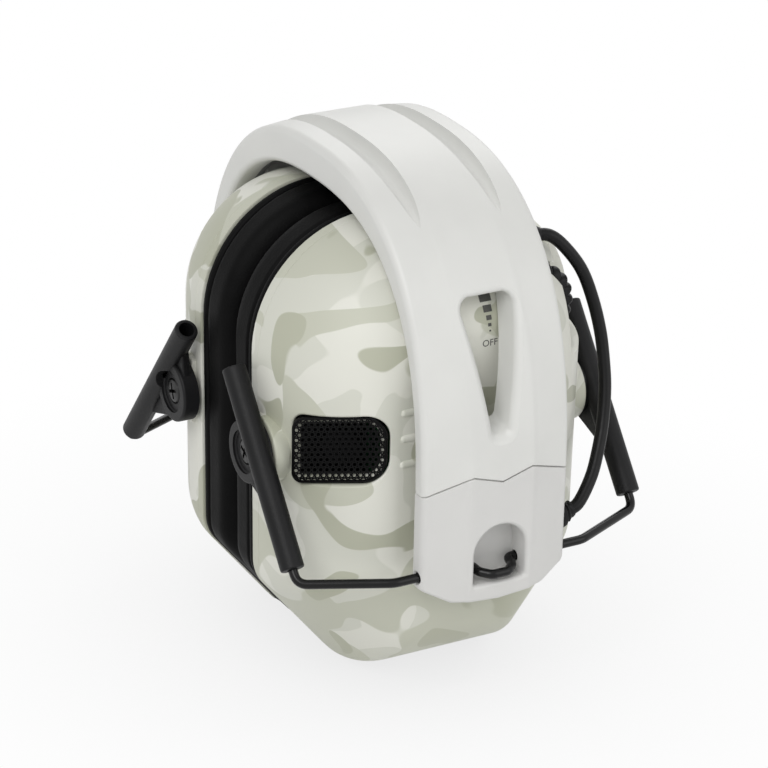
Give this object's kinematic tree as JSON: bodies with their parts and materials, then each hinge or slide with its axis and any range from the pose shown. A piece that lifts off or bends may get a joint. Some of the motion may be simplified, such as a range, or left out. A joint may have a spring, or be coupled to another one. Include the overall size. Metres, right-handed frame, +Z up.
{
  "type": "earmuff hearing protector",
  "caption": "Slim folding electronic earmuff: broad band with windowed arms, wire stirrups on slider tubes, domed cups with soft ear cushions, front microphones and a volume wheel.",
  "frame": {"origin": "centre of the bounding box's underside, on the surface that the folded earmuff stands on", "axes": "+X to the wearer's left across the head, -Y forward, +Z up from the cups' feet to the crown of the band"},
  "size_m": [0.1314, 0.1048, 0.138],
  "materials": {
    "band": "satin white moulded plastic",
    "band_end": "satin cool white moulded plastic",
    "liner": "matte light grey",
    "shell": "satin gloss, pale camouflage print",
    "black_plastic": "fine textured black",
    "wire": "gloss black coated spring steel",
    "screw": "blackened",
    "cushion": "smooth black leatherette",
    "foam": "dark grey open foam",
    "metal": "plated",
    "lead": "satin black sheath",
    "board": "green solder mask",
    "cell": "sleeved cell"
  },
  "bodies": {
    "crown": {"band_crown": "band", "crown_liner": "liner"},
    "arm_left": {"band_arm_left": "band", "arm_liner_left": "liner", "band_end_left": "band_end", "strain_relief_left": "black_plastic"},
    "arm_right": {"band_arm_right": "band", "arm_liner_right": "liner", "band_end_right": "band_end", "strain_relief_right": "black_plastic"},
    "stirrup_left": {"fold_wire_left": "wire"},
    "stirrup_right": {"fold_wire_right": "wire"},
    "sliders_left": {"slider_front_left": "black_plastic", "slider_rear_left": "black_plastic"},
    "sliders_right": {"slider_front_right": "black_plastic", "slider_rear_right": "black_plastic"},
    "cup_left": {"outer_shell_left": "shell", "base_frame_left": "shell", "base_plate_left": "black_plastic", "cushion_left": "cushion", "ear_foam_left": "foam", "speaker_left": "metal", "speaker_plate_left": "black_plastic", "mic_grille_left": "black_plastic", "microphone_left": "metal", "pivot_screw_front_left": "screw", "pivot_screw_rear_left": "screw", "cable_gland_left": "black_plastic", "lead_left": "lead", "circuit_board": "board", "amplifier_chip": "black_plastic", "volume_control": "metal"},
    "cup_right": {"outer_shell_right": "shell", "base_frame_right": "shell", "base_plate_right": "black_plastic", "cushion_right": "cushion", "ear_foam_right": "foam", "speaker_right": "metal", "speaker_plate_right": "black_plastic", "mic_grille_right": "black_plastic", "microphone_right": "metal", "pivot_screw_front_right": "screw", "pivot_screw_rear_right": "screw", "cable_gland_right": "black_plastic", "lead_right": "lead", "battery_tray": "black_plastic", "battery_cell_front": "cell", "battery_cell_rear": "cell", "battery_contact_low": "metal", "battery_contact_high": "metal"},
    "volume_knob": {"volume_wheel": "black_plastic"}
  },
  "joints": [
    {"name": "spread_left", "type": "hinge", "parent": "crown", "child": "arm_left", "pos_m": [0.01434, 0, 0.13743], "axis": [0, -1, 0], "range_deg": [0, 33]},
    {"name": "spread_right", "type": "hinge", "parent": "crown", "child": "arm_right", "pos_m": [-0.01434, 0, 0.13743], "axis": [0, 1, 0], "range_deg": [0, 33]},
    {"name": "fold_left", "type": "hinge", "parent": "arm_left", "child": "stirrup_left", "pos_m": [0.059, 0, 0.041], "axis": [0, -1, 0], "range_deg": [0, 80], "deforming": ["lead_left"]},
    {"name": "fold_right", "type": "hinge", "parent": "arm_right", "child": "stirrup_right", "pos_m": [-0.059, 0, 0.041], "axis": [0, 1, 0], "range_deg": [0, 80], "deforming": ["lead_right"]},
    {"name": "height_left", "type": "slide", "parent": "stirrup_left", "child": "sliders_left", "axis": [-0.6184, 0, 0.7859], "range_m": [0, 0.018]},
    {"name": "height_right", "type": "slide", "parent": "stirrup_right", "child": "sliders_right", "axis": [0.6184, 0, 0.7859], "range_m": [0, 0.018]},
    {"name": "tilt_left", "type": "hinge", "parent": "sliders_left", "child": "cup_left", "pos_m": [0.0209, 0, 0.0658], "axis": [0, 1, 0], "range_deg": [0, 113]},
    {"name": "tilt_right", "type": "hinge", "parent": "sliders_right", "child": "cup_right", "pos_m": [-0.0209, 0, 0.0658], "axis": [0, -1, 0], "range_deg": [0, 113]},
    {"name": "volume_turn", "type": "hinge", "parent": "cup_left", "child": "volume_knob", "pos_m": [0.0332, 0.0248, 0.098], "axis": [1, 0, 0], "range_deg": [0, 270]}
  ],
  "couplings": [
    {"joint": "fold_right", "follows": "fold_left", "ratio": 1},
    {"joint": "spread_left", "follows": "fold_left", "ratio": 0.4124},
    {"joint": "spread_right", "follows": "fold_left", "ratio": 0.4124},
    {"joint": "height_left", "follows": "fold_left", "m_per_rad": 0.01289},
    {"joint": "height_right", "follows": "fold_left", "m_per_rad": 0.01289},
    {"joint": "tilt_left", "follows": "fold_left", "ratio": 1.4124},
    {"joint": "tilt_right", "follows": "fold_left", "ratio": 1.4124}
  ]
}
